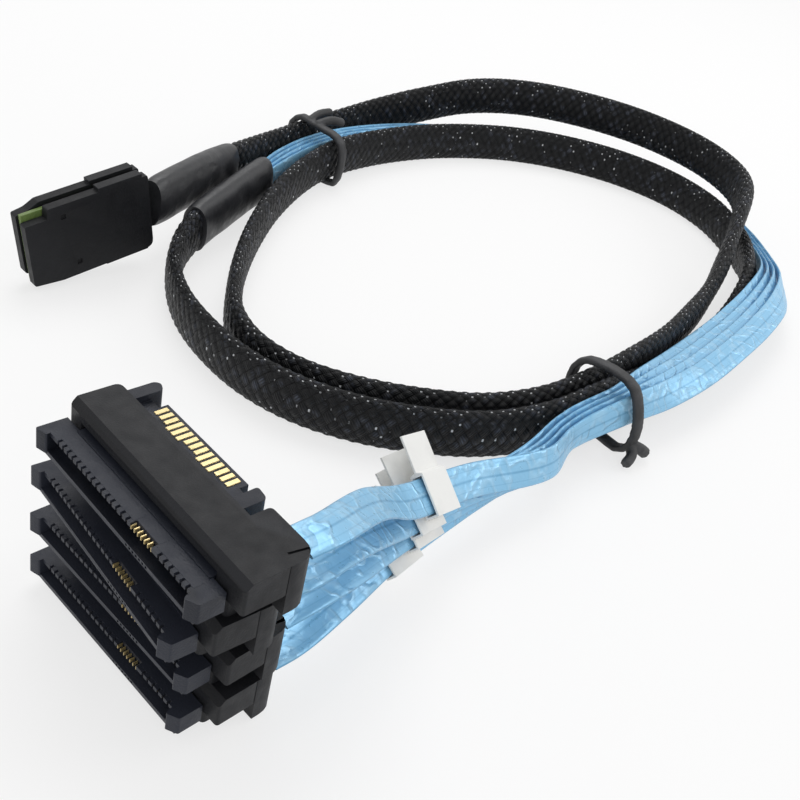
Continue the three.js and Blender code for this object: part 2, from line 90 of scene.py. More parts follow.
# The wires inside make the sleeve swell and sink along its length, at a pitch that drifts. The pitch of a
# swell, a ripple or a wave is in millimetres for each radian of it.
SWELL = 0.18
SWELL_PITCH = 7.3
SWELL_DRIFT = 2.1
SWELL_DRIFT_PITCH = 23
SWELL_SINK = 0.12

# The split's shrink tube starts this far along its own route, and stops this far before the route's end.
SPLIT_START = 9.5
SPLIT_STOP = 0.2
# A shrink tube's ends draw in by a share of the section, over a short reach.
END_DRAW = 0.09
END_REACH = 1.6
# Its ripples along it, and those that wind round it, each as a share of the section and a pitch.
RIPPLE = (0.025, 2.9)
TWIST_RIPPLE = (0.02, 1.3)

# The ribbons fan out where they leave the split: their middle's x and y from the split route's end, and
# what each one higher up adds.
FAN_FROM = (-0.4, 0.7)
FAN_STEP = (-1.2, -0.5)
# The foil's thickness at its seams, as a share, and what its ridges add over the wires. Then the depth of
# its creases, how fine they are, and the depth and pitch of a slow wave in the whole ribbon.
FOIL_SEAM = 0.92
FOIL_RIDGE = 0.12
RIDGE_SPAN = 0.97
CREASE_DEPTH = 0.07
CREASE_GRAIN = 0.16
WAVE_DEPTH = 0.1
WAVE_PITCH = 11

# Each swept tube's spacing of rings and number of sides, and the spacing of points on a cord's path.
SLEEVE_MESH = (0.6, 56)
SHRINK_MESH = (0.5, 48)
RIBBON_MESH = (0.7, 28)

# The gold pads on the power plug's tongue, in the connector's own frame.
PIN_PITCH = 1.27
PAD_COUNT = 15
PAD_W = 0.84
PAD_FIRST = -14.94
PAD_FRONT = 6.1
LONG_PAD_FRONT = 5.6
LONG_PADS = (3, 4, 5, 9, 10, 11)
PAD_BACK = 8.3
PAD_SPREAD = 0.02
PAD_Z = (7.35, 7.61)
# The contacts inside the receptacle's mouth, as the first one's x and their count.
CONTACT_ROWS = ((-17.0, 15), (8.42, 6))
CONTACT_W = 0.36
CONTACT_Y = (-7.6, -3.4)
CONTACT_Z = (5.2, 5.55)
BRIDGE_AT = 4.25
BRIDGE_PITCH = 0.8
BRIDGE_W = 0.24
BRIDGE_REACH = 3
BRIDGE_Y = (-7.9, -7.0)
BRIDGE_Z = (5.3, 6.0)
# The receptacle's roof closes the slots behind the lip, and stays open over the bridge contacts.
ROOF_PARTS = ((-17.6, 1.6, -7.3), (1.6, 6.9, -6.9), (6.9, 15.4, -7.3))
ROOF_BACK = -5.3
ROOF_Z = (5.58, 6.33)

# How far edges are rounded off.
ROUND_MOULDING = 0.35
ROUND_SHELL = 0.3
ROUND_PLUG = 0.1
ROUND_RECEPTACLE = 0.08
ROUND_CARD = 0.08
ROUND_GOLD = 0.06
ROUND_PAPER = 0.06
ROUND_BOARD = 0.05
ROUND_ROOF = 0.02
# The turn at an edge, in degrees, from which the edge is sharp, and up to which its two faces are joined.
SHARP = 35
TUBE_SHARP = 60
FLAT = 2
# Points of a CAD mesh that are nearer than this are one point.
WELD = 0.002
# The ties: the grain of their mesh, and how far they swell over the CAD.
TIE_GRAIN = 0.3
TIE_SWELL = 0.2

# The sleeve's route: x, y, z and, where it isn't upright, how far its flat side leans in degrees.
SLEEVE = [
    [-101.6, 61.4, 15], [-105.2, 69.5, 14.9], [-110.4, 80.5, 14.2], [-115.8, 91.8, 12.8],
    [-121, 104, 11.3], [-126, 117, 9.9], [-130.6, 132.3, 9.2], [-133.5, 147.2, 9.3],
    [-134.3, 163, 10.7], [-131.8, 179, 13.4], [-126.7, 196, 16.6], [-117.5, 211.5, 18.2],
    [-103.5, 226.3, 18.4], [-85, 236.5, 18.4], [-65, 239, 18.4], [-49, 234.2, 18.4],
    [-38.6, 225.4, 18.2], [-32, 214, 16], [-26.6, 203, 12.2], [-21.2, 191, 8.6],
    [-16.5, 178, 6.5], [-12.3, 163, 6.2], [-8.8, 148, 6.6], [-6.3, 131, 7.4],
    [-4.9, 114, 7.7], [-6.2, 98.5, 6.8], [-10.9, 85.8, 6.1], [-19.2, 74, 6],
    [-28.8, 64.3, 6], [-39.2, 58, 6], [-50.5, 55.8, 6], [-61.4, 58.4, 6],
    [-73, 66.4, 6], [-84.3, 76.8, 6], [-95.6, 89.4, 6], [-105.8, 103.2, 6.4],
    [-113.4, 117.5, 7.2], [-118.6, 132, 7.7], [-122, 150, 6.8], [-122, 172, 6],
    [-117.5, 189, 6], [-110.2, 204.5, 6], [-99, 218, 6], [-84, 228.5, 6],
    [-67, 233.4, 6], [-51, 231.7, 6], [-38.6, 225.6, 6], [-28, 217.4, 6, 6],
    [-18.4, 206.6, 5.7, 28], [-10.6, 192.8, 4.4, 58], [-5.8, 177, 3.2, 74], [-2.8, 160.5, 2.9, 77],
    [-0.6, 143.5, 3.4, 70], [0.6, 127, 5.4, 48], [0.8, 112, 7.3, 22], [-0.9, 96.5, 6.9, 8],
    [-5.8, 82.6, 6.1], [-13.8, 70.4, 6], [-23.8, 60.4, 6], [-34.8, 53.6, 6],
    [-47, 50.1, 6], [-60, 49.8, 6], [-72.5, 52, 6], [-84, 57.2, 6.1],
    [-92.6, 64.4, 6.8], [-98.2, 72.2, 7.8],
]
SPLIT = [[-99.7, 74.8, 8.1], [-106.2, 88.6, 8.8], [-113.4, 104, 9.3]]

# From which row of the sleeve the ribbons run beside it, then their middle height and the step between
# them at each row.
BESIDE_FROM = 36
BESIDE = [
    (2.2, 0), (1.1, 0), (0.6, 0), (-0.4, 0), (-1.6, 0), (-2.2, 0), (-2.4, 0), (-2.4, 0), (-2.4, 0),
    (-2.4, 0), (-2, 0), (-1, -0.4), (0.6, -1), (1.8, -1.8), (2.4, -2.4), (2.6, -2.6), (2.6, -2.4),
    (2.4, -1.5), (2, -0.3), (1.6, 0),
]
# The last rows before the connectors: x, y, z, lean, then what each ribbon higher up adds to x and z.
FREE = [
    (5.2, 82, 7.8, 28, 1.75, 1.0), (7.2, 60, 7.2, 44, 0.5, 2.4),
    (10, 40, 7.2, 56, 0.6, 4.6), (13.8, 25, 7.6, 72, 0.9, 7.8),
]
EXIT_X = 16.9
EXIT_Y = 7.65
EXIT_Z = 7.6


def lean_of(row):
    """How far a route row leans, in degrees."""
    return row[3] if len(row) > 3 else 0.0


class Route:
    """A smooth line through its rows. It is measured by its length from the start, in millimetres."""

    def __init__(self, rows, fineness=24):
        spots = np.array([row[:3] for row in rows], float)
        spots = np.vstack([2 * spots[0] - spots[1], spots, 2 * spots[-1] - spots[-2]])
        points, marks = [], []
        share = np.arange(fineness) / fineness
        for i in range(len(rows) - 1):
            points.append(self.bend(spots[i:i + 4], share))
            marks.append(i + share)
        self.points = np.vstack(points + [spots[-2]])
        self.marks = np.append(np.concatenate(marks), len(rows) - 1)
        self.arc = np.append(0, np.cumsum(np.linalg.norm(np.diff(self.points, axis=0), axis=1)))
        self.length = float(self.arc[-1])
        self.leans = np.array([math.radians(lean_of(row)) for row in rows])

    @staticmethod
    def bend(four, share):
        """The curve between the middle two of four spots."""
        gaps = [max(np.linalg.norm(four[k + 1] - four[k]) ** 0.5, 1e-4) for k in range(3)]
        a, b, c, d = four
        first = (b - a) / gaps[0] - (c - a) / (gaps[0] + gaps[1]) + (c - b) / gaps[1]
        last = (c - b) / gaps[1] - (d - b) / (gaps[1] + gaps[2]) + (d - c) / gaps[2]
        first, last = first * gaps[1], last * gaps[1]
        s = share[:, None]
        return b + first * s + (3 * (c - b) - 2 * first - last) * s**2 + (2 * (b - c) + first + last) * s**3

    def at(self, along):
        """The points at those lengths from the start."""
        return np.stack([np.interp(along, self.arc, self.points[:, k]) for k in range(3)], axis=1)

    def frames(self, along):
        """The points, the two directions across the section, and the lean at those lengths."""
        reach = 0.4
        ahead = self.at(np.minimum(along + reach, self.length)) - self.at(np.maximum(along - reach, 0))
        ahead /= np.linalg.norm(ahead, axis=1)[:, None]
        out = np.stack([ahead[:, 1], -ahead[:, 0], np.zeros(len(along))], axis=1)
        out /= np.linalg.norm(out, axis=1)[:, None]
        lean = np.interp(np.interp(along, self.arc, self.marks), np.arange(len(self.leans)), self.leans)
        return self.at(along), out, np.cross(out, ahead), lean


def camera():
    """The camera at the photograph's angle."""
    data = bpy.data.cameras.new("camera")
    data.lens = CAMERA_LENS
    data.clip_start = 0.01
    made = bpy.data.objects.new("camera", data)
    turn = Matrix((CAMERA_RIGHT, CAMERA_UP, CAMERA_BACK)).transposed().to_4x4()
    made.matrix_world = Matrix.Translation(Vector(CAMERA_AT) * MM) @ turn
    bpy.context.scene.collection.objects.link(made)
    bpy.context.scene.camera = made


class Look:
    """A material's nodes. Each call adds one node and gives back its result."""

    def __init__(self, name, rough, metal=0.0):
        self.material = bpy.data.materials.new(name)
        self.material.use_nodes = True
        self.nodes = self.material.node_tree.nodes
        self.shader = self.nodes["Principled BSDF"]
        self.shader.inputs["Roughness"].default_value = rough
        self.shader.inputs["Metallic"].default_value = metal
        self.place = self.nodes.new("ShaderNodeTexCoord").outputs["Object"]

    def feed(self, socket, value):
        """Links a result to a socket, or sets the socket to a plain value."""
        if isinstance(value, bpy.types.NodeSocket):
            self.material.node_tree.links.new(value, socket)
        else:
            socket.default_value = value

    def math(self, operation, a, b=0.0):
        """The result of an operation on one or two values."""
        node = self.nodes.new("ShaderNodeMath")
        node.operation = operation
        self.feed(node.inputs[0], a)
        self.feed(node.inputs[1], b)
        return node.outputs[0]

    def noise(self, scale, detail=3.0, stretch=None):
        """Cloudy noise over the piece, finer with scale and squeezed along the axes by stretch."""
        node = self.nodes.new("ShaderNodeTexNoise")
        place = self.place
        if stretch:
            mapping = self.nodes.new("ShaderNodeMapping")
            mapping.inputs["Scale"].default_value = stretch
            self.feed(mapping.inputs["Vector"], place)
            place = mapping.outputs[0]
        self.feed(node.inputs["Vector"], place)
        node.inputs["Scale"].default_value = scale
        node.inputs["Detail"].default_value = detail
        return node.outputs["Fac"]

    def span(self, value, low, high, start=0.0, end=1.0):
        """The value's place from low to high, as a number from start to end."""
        node = self.nodes.new("ShaderNodeMapRange")
        self.feed(node.inputs["Value"], value)
        for name, number in (("From Min", low), ("From Max", high), ("To Min", start), ("To Max", end)):
            node.inputs[name].default_value = number
        return node.outputs[0]

    def mix(self, share, a, b):
        """A colour from a to b, by the share of b."""
        node = self.nodes.new("ShaderNodeMix")
        node.data_type = "RGBA"
        self.feed(node.inputs[0], share)
        self.feed(node.inputs[6], a if isinstance(a, bpy.types.NodeSocket) else (*a, 1))
        self.feed(node.inputs[7], b if isinstance(b, bpy.types.NodeSocket) else (*b, 1))
        return node.outputs[2]

    def value(self, name):
        """The number that the mesh holds at each point under that name."""
        node = self.nodes.new("ShaderNodeAttribute")
        node.attribute_name = name
        return node.outputs["Fac"]

    def middle_out(self, share):
        """Nought at the middle of a share from 0 to 1, rising steeply to one at both its ends."""
        away = self.math("ABSOLUTE", self.math("SUBTRACT", share, 0.5))
        return self.math("POWER", self.math("MULTIPLY", away, 2.0), 3.0)

    def edges(self):
        """One on outer edges and nought elsewhere."""
        return self.span(self.nodes.new("ShaderNodeNewGeometry").outputs["Pointiness"], 0.51, 0.6)

    def colour(self, value):
        """Sets the colour of the surface."""
        self.feed(self.shader.inputs["Base Color"], value)

    def rough(self, value):
        """Sets how rough the surface is."""
        self.feed(self.shader.inputs["Roughness"], value)

    def bump(self, height, depth):
        """Relief in the shading, with its depth in millimetres."""
        node = self.nodes.new("ShaderNodeBump")
        node.inputs["Distance"].default_value = depth * MM
        self.feed(node.inputs["Height"], height)
        self.feed(self.shader.inputs["Normal"], node.outputs[0])


def plastic(name, base, worn, rough):
    """A moulded plastic with a fine grain, faint handling marks and paler edges."""
    look = Look(name, rough)
    marks = look.span(look.noise(700, 5), 0.5, 0.8, 0, 0.3)
    look.colour(look.mix(look.math("MAXIMUM", look.edges(), marks), base, worn))
    look.rough(look.span(look.noise(420, 4), 0.3, 0.7, rough - 0.07, rough + 0.07))
    look.shader.inputs["Specular IOR Level"].default_value = 0.2
    look.bump(look.noise(3200, 2), 0.05)
    return look.material


def gold():
    """Thin dull gold plating."""
    look = Look("gold_plating", 0.3, 0.75)
    look.colour(look.mix(look.noise(900, 3), (0.62, 0.51, 0.28), (0.5, 0.4, 0.19)))
    look.rough(look.span(look.noise(1500, 2), 0.3, 0.7, 0.22, 0.42))
    return look.material


def steel():
    """Brushed spring steel."""
    look = Look("brushed_steel", 0.32, 0.9)
    grain = look.noise(900, 4, (1, 12, 1))
    look.colour(look.mix(grain, (0.42, 0.42, 0.44), (0.62, 0.62, 0.64)))
    look.bump(grain, 0.03)
    return look.material


def board():
    """Green solder mask over fine tracks, with the paler laminate at the cut edge."""
    look = Look("board", 0.35)
    tracks = look.span(look.noise(700, 0, (1, 6, 1)), 0.48, 0.52)
    green = look.mix(tracks, (0.02, 0.1, 0.04), (0.05, 0.17, 0.06))
    look.colour(look.mix(look.edges(), green, (0.2, 0.26, 0.07)))
    look.bump(tracks, 0.04)
    return look.material


def paper():
    """White label paper, a little soiled and uneven."""
    look = Look("paper", 0.62)
    soiled = look.span(look.noise(110, 4), 0.5, 0.8)
    look.colour(look.mix(soiled, (0.84, 0.84, 0.82), (0.66, 0.66, 0.64)))
    look.bump(look.noise(500, 4), 0.12)
    return look.material


def shrink():
    """Shrunk tubing: half glossy, drawn into shallow dents over the wires inside."""
    look = Look("shrink_tubing", 0.4)
    look.colour(look.mix(look.noise(240, 4), (0.012, 0.0125, 0.014), (0.024, 0.025, 0.029)))
    look.rough(look.span(look.noise(300, 3), 0.3, 0.7, 0.28, 0.5))
    dents = look.noise(170, 3)
    grain = look.noise(1800, 3)
    look.bump(look.math("ADD", dents, look.math("MULTIPLY", grain, 0.08)), 0.4)
    return look.material


def rubber():
    """Dark rubber with a fine grain."""
    look = Look("tie_rubber", 0.55)
    dusty = look.span(look.noise(300, 4), 0.4, 0.7)
    look.colour(look.mix(dusty, (0.012, 0.0125, 0.014), (0.035, 0.036, 0.04)))
    look.bump(look.noise(1500, 3, (1, 1, 5)), 0.1)
    return look.material


def foil():
    """Blue foil wrap: creased and shiny. Painted shade darkens it along the seams between the wires, and a
    painted highlight makes it paler along its fold lines.
    """
    look = Look("blue_foil", 0.34, 0.25)
    folds = look.math("ABSOLUTE", look.math("SUBTRACT", look.noise(210, 1.5), 0.5))
    wrinkles = look.math("MINIMUM", look.math("MULTIPLY", folds, 14.0), 1.0)
    creases = look.math("SUBTRACT", look.math("MULTIPLY", look.noise(700, 3), 0.5), wrinkles)
    # Painted highlight: the blue is a little paler along the fold lines, and it also varies a little at
    # random.
    lit = look.mix(look.span(creases, -0.7, 0.1), (0.25, 0.53, 0.77), (0.31, 0.58, 0.8))
    # Painted shade: the seams between the wires, the ribbon's edges included, take a darker blue.
    seam_shade = look.span(look.value("ridge"), 0.0, 0.3, 0.6, 0)
    look.colour(look.mix(seam_shade, lit, (0.07, 0.26, 0.46)))
    look.rough(look.span(look.noise(800, 3), 0.3, 0.7, 0.26, 0.44))
    look.bump(creases, 0.16)
    return look.material


def braid():
    """Woven dark filaments, with pale wire showing through some of the openings. Painted glints make the
    raised bands paler and bluish in patches, and painted shade darkens the low parts of the weave.
    """
    look = Look("braid", 0.4)
    chart = look.nodes.new("ShaderNodeSeparateXYZ")
    look.feed(chart.inputs[0], look.nodes.new("ShaderNodeUVMap").outputs[0])
    along = look.math("DIVIDE", chart.outputs["X"], WEAVE_PITCH)
    round_it = look.math("MULTIPLY", chart.outputs["Y"], WEAVE_CELLS)
    right, left = look.math("ADD", along, round_it), look.math("SUBTRACT", along, round_it)
    cell = look.math("ADD", look.math("FLOOR", right), look.math("FLOOR", left))
    over = look.math("LESS_THAN", look.math("FLOORED_MODULO", cell, 2.0), 0.5)
    right, left = look.math("FRACT", right), look.math("FRACT", left)
    across = look.math("ADD", left, look.math("MULTIPLY", over, look.math("SUBTRACT", right, left)))
    beneath = look.math("SUBTRACT", look.math("ADD", right, left), across)
    arch = look.math("SINE", look.math("MULTIPLY", beneath, math.pi))
    crown = look.math("SINE", look.math("MULTIPLY", across, math.pi))
    height = look.math("MULTIPLY", look.math("POWER", crown, 0.6), look.span(arch, 0, 1, 0.5, 1))
    filament = look.math("ABSOLUTE", look.math("SINE", look.math("MULTIPLY", across, math.pi * FILAMENTS)))
    corner = look.math("MULTIPLY", look.middle_out(right), look.middle_out(left))
    at_edge = look.middle_out(look.math("FRACT", look.math("MULTIPLY", chart.outputs["Y"], 2.0)))
    shows = look.math("ADD", look.noise(260, 2), look.span(at_edge, 0.0, 0.05, 0.12, 0.0))
    opening = look.math("MULTIPLY", look.span(corner, 0.3, 0.42), look.span(shows, 0.58, 0.64))
    # Painted glints: patches of the raised bands, along their filaments, are paler and bluish.
    glint = look.math("MULTIPLY", look.span(look.noise(340, 3), 0.52, 0.68), look.span(height, 0.35, 0.9))
    strand = look.mix(look.math("MULTIPLY", glint, filament), (0.0045, 0.005, 0.006), (0.06, 0.068, 0.09))
    # Painted shade: the weave is darker where it lies low, between and under the bands.
    shaded_thread = look.mix(look.span(height, 0.1, 0.6), (0.0015, 0.0015, 0.002), strand)
    look.shader.inputs["Specular IOR Level"].default_value = 0.2
    look.colour(look.mix(opening, shaded_thread, (0.75, 0.77, 0.8)))
    look.bump(look.math("ADD", height, look.math("MULTIPLY", filament, 0.3)), 0.3)
    return look.material


def link(name, mesh, material):
    """Puts a mesh in the scene with its material and makes it ride on the one body."""
    made = bpy.data.objects.new(name, mesh)
    bpy.context.scene.collection.objects.link(made)
    mesh.materials.clear()
    mesh.materials.append(material)
    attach(made, "root")
    return made


def smooth(mesh, angle):
    """Smooth shading that keeps the edges sharper than the angle, in degrees."""
    mesh.shade_smooth()
    mesh.set_sharp_from_angle(angle=math.radians(angle))


def draw_chart(mesh, along, turn):
    """Gives each corner of a tube's side faces its length along the route and its turn round it."""
    length, angle = np.meshgrid(along[:-1], turn, indexing="ij")
    next_length, next_angle = np.meshgrid(along[1:], turn + turn[1], indexing="ij")
    corners = [(length, angle), (next_length, angle), (next_length, next_angle), (length, next_angle)]
    sides = np.stack([np.stack(corner, axis=-1) for corner in corners], axis=2).reshape(-1, 2)
    chart = np.zeros((len(mesh.loops), 2), np.float32)
    chart[:len(sides)] = sides
    mesh.uv_layers.new(name="chart").uv.foreach_set("vector", chart.ravel())


def tube(name, route, section, start, stop, fineness, material, values=None):
    """A closed tube along part of a route.

    section gives the two places across the route for each length and turn, and values are rules for
    numbers that the mesh holds at each point. fineness is the spacing of rings and the number of sides.
    """
    step, sides = fineness
    along = np.linspace(start, stop, int(round((stop - start) / step)) + 1)
    turn = np.arange(sides) / sides
    thick, wide = section(along[:, None], turn[None, :])
    middle, out, up, lean = route.frames(along)
    cos, sin = np.cos(lean)[:, None], np.sin(lean)[:, None]
    side, rise = thick * cos + wide * sin, wide * cos - thick * sin
    spots = middle[:, None, :] + side[:, :, None] * out[:, None, :] + rise[:, :, None] * up[:, None, :]
    rings = len(along)
    here = np.arange(rings * sides).reshape(rings, sides)
    beside = np.roll(here, -1, axis=1)
    faces = np.stack([here[:-1], here[1:], beside[1:], beside[:-1]], axis=-1).reshape(-1, 4).tolist()
    faces += [here[0].tolist(), here[-1][::-1].tolist()]
    mesh = bpy.data.meshes.new(name)
    mesh.from_pydata((spots.reshape(-1, 3) * MM).tolist(), [], faces)
    draw_chart(mesh, along, turn)
    for key, rule in (values or {}).items():
        numbers = np.broadcast_to(rule(along[:, None], turn[None, :]), (rings, sides)).astype(np.float32)
        mesh.attributes.new(key, "FLOAT", "POINT").data.foreach_set("value", numbers.ravel())
    smooth(mesh, TUBE_SHARP)
    return link(name, mesh, material)


def rounded(turn, thick, wide, power):
    """A flattened round section."""
    cos, sin = np.cos(2 * np.pi * turn), np.sin(2 * np.pi * turn)
    return (thick / 2 * np.sign(cos) * np.abs(cos) ** power, wide / 2 * np.sign(sin) * np.abs(sin) ** power)


def weave(along, turn):
    """How high the braid stands, 0 to 1: bands of filaments that cross over and under each other."""
    right = along / WEAVE_PITCH + turn * WEAVE_CELLS
    left = along / WEAVE_PITCH - turn * WEAVE_CELLS
    over = (np.floor(right) + np.floor(left)) % 2 == 0
    right, left = right % 1, left % 1
    across, beneath = np.where(over, right, left), np.where(over, left, right)
    return np.sin(np.pi * across) ** 0.6 * (0.5 + 0.5 * np.sin(np.pi * beneath))


def sleeve_section(along, turn):
    """The sleeve's flattened section with the braid's relief and the soft swell of the wires inside."""
    thick, wide = rounded(turn, SLEEVE_T, SLEEVE_W, SLEEVE_POWER)
    drift = SWELL_DRIFT * np.sin(along / SWELL_DRIFT_PITCH)
    swell = SWELL * np.sin(along / SWELL_PITCH + drift) - SWELL_SINK
    sunk = WEAVE_DEPTH * (weave(along, turn) - 1) + swell
    cos, sin = np.cos(2 * np.pi * turn), np.sin(2 * np.pi * turn)
    return thick + sunk * cos, wide + (sunk - swell) * sin


def shrink_section(total):
    """A shrink tube's section, drawn in a little at both ends and rippled by what it holds."""
    def section(along, turn):
        near_end = np.minimum(along, total - along)
        drawn = 1 - END_DRAW * np.exp(-near_end / END_REACH)
        ripple = 1 + RIPPLE[0] * np.sin(along / RIPPLE[1])
        ripple = ripple + TWIST_RIPPLE[0] * np.sin(along / TWIST_RIPPLE[1] + 6 * np.pi * turn)
        return rounded(turn, SHRINK_T * drawn * ripple, SHRINK_W * drawn, SHRINK_POWER)
    return section


def ridge(along, turn):
    """How full the foil stands over the four wires of a ribbon, 0 at the seams between them."""
    across = np.sin(2 * np.pi * turn)
    return (0.5 - 0.5 * np.cos(4 * np.pi * across)) * (np.abs(across) < RIDGE_SPAN) + 0 * along


def ribbon_section(seed):
    """A flat foil-wrapped section with four low ridges and creases that differ from ribbon to ribbon."""
    def section(along, turn):
        thick, wide = rounded(turn, RIBBON_T, RIBBON_W, RIBBON_POWER)
        crease = np.empty(np.broadcast(along, turn).shape)
        for i, place in enumerate(along[:, 0]):
            for j, share in enumerate(turn[0]):
                across = math.sin(2 * math.pi * share)
                face = 4.0 * math.copysign(1, math.cos(2 * math.pi * share))
                # Each ribbon, and each face of it, reads a layer of the noise of its own.
                spot = Vector((place * CREASE_GRAIN + across, across * 1.1, seed * 9.1 + face))
                crease[i, j] = 0.5 - abs(noise.noise(spot)) * 2 + 0.4 * noise.noise(spot * 3.1)
        full = FOIL_SEAM + FOIL_RIDGE * ridge(along, turn)
        wavy = WAVE_DEPTH * np.sin(along / WAVE_PITCH + seed)
        cos = np.cos(2 * np.pi * turn)
        return thick * full + CREASE_DEPTH * crease * np.sign(cos) * np.sqrt(np.abs(cos)) + wavy, wide
    return section


def stack_place(layer):
    """The turn and place of the connector on that layer, 0 the lowest."""
    x, y, yaw = STACK[layer]
    place = Matrix.Translation(Vector((x, y, layer * STACK_PITCH)) * MM)
    return place @ Matrix.Rotation(math.radians(yaw), 4, "Z")


def ribbon_rows(layer):
    """The route of the ribbon that ends at the connector on that layer."""
    x, y, z = SPLIT[-1]
    fan = layer - (COUNT - 1) / 2
    rows = [[x + FAN_FROM[0] + fan * FAN_STEP[0], y + FAN_FROM[1] + fan * FAN_STEP[1], z]]
    away = SLEEVE_T / 2 + CLEAR + RIBBON_T / 2 + CLEAR + layer * RIBBON_STEP
    for i, (height, step) in enumerate(BESIDE):
        at = BESIDE_FROM + i
        x, y, z = SLEEVE[at][:3]
        lean = math.radians(lean_of(SLEEVE[at]))
        up = height + layer * step
        out = away * math.cos(lean) - up * math.sin(lean)
        rise = away * math.sin(lean) + up * math.cos(lean)
        before, after = Vector(SLEEVE[at - 1][:2]), Vector(SLEEVE[at + 1][:2])
        ahead = (after - before).normalized()
        rows.append([x - ahead.y * out, y + ahead.x * out, z + rise, math.degrees(lean)])
    rows += [[x + layer * dx, y, z + layer * dz, lean] for x, y, z, lean, dx, dz in FREE]
    for y, lean in ((EXIT_Y + 5, 88), (EXIT_Y, 90)):
        spot = stack_place(layer) @ (Vector((EXIT_X, y, EXIT_Z)) * MM) / MM
        rows.append([*spot, lean])
    return rows


def node_shape(node, flatten):
    """A copy of a CAD node's mesh with its points welded, and its flat faces joined if flatten is set."""
    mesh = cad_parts[node].data.copy()
    edit = bmesh.new()
    edit.from_mesh(mesh)
    bmesh.ops.remove_doubles(edit, verts=edit.verts, dist=WELD * MM)
    if flatten:
        bmesh.ops.dissolve_limit(edit, angle_limit=math.radians(FLAT), verts=edit.verts, edges=edit.edges)
    edit.to_mesh(mesh)
    edit.free()
    return mesh


def dressed(node, material, round_off):
    """A CAD node's own shape with its edges rounded off, shown in place of the node."""
    mesh = node_shape(node, True)
    smooth(mesh, SHARP)
    made = link(node + "_piece", mesh, material)
    bevel = made.modifiers.new("edges", "BEVEL")
    bevel.width = round_off * MM
    bevel.segments = 2
    bevel.limit_method = "ANGLE"
    bevel.angle_limit = math.radians(SHARP)
    bevel.harden_normals = True
    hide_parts(node)
    return made


def softened(node, material):
    """A CAD node's own shape made soft and round all over, shown in place of the node."""
    made = link(node + "_piece", node_shape(node, False), material)
    remesh = made.modifiers.new("even", "REMESH")
    remesh.mode = "VOXEL"
    remesh.voxel_size = TIE_GRAIN * MM
    remesh.use_smooth_shade = True
    swollen = made.modifiers.new("swollen", "DISPLACE")
    swollen.strength = TIE_SWELL * MM
    swollen.mid_level = 0
    made.modifiers.new("soft", "SMOOTH").iterations = 1
    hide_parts(node)
    return made


def blocks(name, boxes, place, material, round_off):
    """Small boxes joined as one piece. Each box is x0, x1, y0, y1, z0, z1 in the frame of place."""
    edit = bmesh.new()
    for x0, x1, y0, y1, z0, z1 in boxes:
        made = bmesh.ops.create_cube(edit, size=1)["verts"]
        for corner in made:
            share = corner.co + Vector((0.5, 0.5, 0.5))
            y, z = y0 + (y1 - y0) * share.y, z0 + (z1 - z0) * share.z
            corner.co = Vector((x0 + (x1 - x0) * share.x, y, z))
    bmesh.ops.bevel(
        edit, geom=edit.edges[:], offset=round_off, segments=2, affect="EDGES", clamp_overlap=True
    )
    bmesh.ops.transform(edit, matrix=place @ Matrix.Scale(MM, 4), verts=edit.verts)
    mesh = bpy.data.meshes.new(name)
    edit.to_mesh(mesh)
    edit.free()
    smooth(mesh, SHARP)
    link(name, mesh, material)


def seen_rays(tree):
    """One for rays that the camera sees by, straight, in a gloss or through glass, and nought for others."""
    rays = tree.nodes.new("ShaderNodeLightPath").outputs
    seen = rays["Is Camera Ray"]
    for name in ("Is Glossy Ray", "Is Transmission Ray"):
        either = tree.nodes.new("ShaderNodeMath")
        either.operation = "MAXIMUM"
        tree.links.new(seen, either.inputs[0])
        tree.links.new(rays[name], either.inputs[1])
        seen = either.outputs[0]
    return seen


def floor():
    """A pale table that is nearly white to the camera but keeps soft shadows."""
    mesh = bpy.data.meshes.new("floor")
    corners = [(x * FLOOR_REACH, y * FLOOR_REACH, 0) for x, y in ((-1, -1), (1, -1), (1, 1), (-1, 1))]
    mesh.from_pydata(corners, [], [(0, 1, 2, 3)])
    made = bpy.data.objects.new("floor", mesh)
    bpy.context.scene.collection.objects.link(made)
    look = Look("table", 0.8)
    look.colour((0.9, 0.9, 0.9, 1))
    tree = look.material.node_tree
    both = look.nodes.new("ShaderNodeMixShader")
    white = look.nodes.new("ShaderNodeEmission").outputs[0]
    tree.links.new(look.math("MULTIPLY", seen_rays(tree), FLOOR_GLOW), both.inputs[0])
    tree.links.new(look.shader.outputs[0], both.inputs[1])
    tree.links.new(white, both.inputs[2])
    tree.links.new(both.outputs[0], look.nodes["Material Output"].inputs["Surface"])
    mesh.materials.append(look.material)


def lamp(name, place, size, watts):
    """A soft square lamp that faces the middle of the scene."""
    data = bpy.data.lights.new(name, "AREA")
    data.size = size
    data.energy = watts
    made = bpy.data.objects.new(name, data)
    made.location = place
    made.rotation_euler = (SCENE_MIDDLE - Vector(place)).to_track_quat("-Z", "Y").to_euler()
    bpy.context.scene.collection.objects.link(made)


def surroundings():
    """Three soft lamps, and a plain world that is white where the camera sees it."""
    bpy.context.scene.view_settings.view_transform = "Standard"
    world = bpy.data.worlds.new("world")
    world.use_nodes = True
    tree = world.node_tree
    tree.nodes["Background"].inputs["Color"].default_value = (1, 1, 1, 1)
    strength = tree.nodes.new("ShaderNodeMapRange")
    strength.inputs["To Min"].default_value = WORLD_STRENGTH
    strength.inputs["To Max"].default_value = 1.0
    tree.links.new(seen_rays(tree), strength.inputs["Value"])
    tree.links.new(strength.outputs[0], tree.nodes["Background"].inputs["Strength"])
    bpy.context.scene.world = world
    for name, place, size, watts in LAMPS:
        lamp(name, place, size, watts)


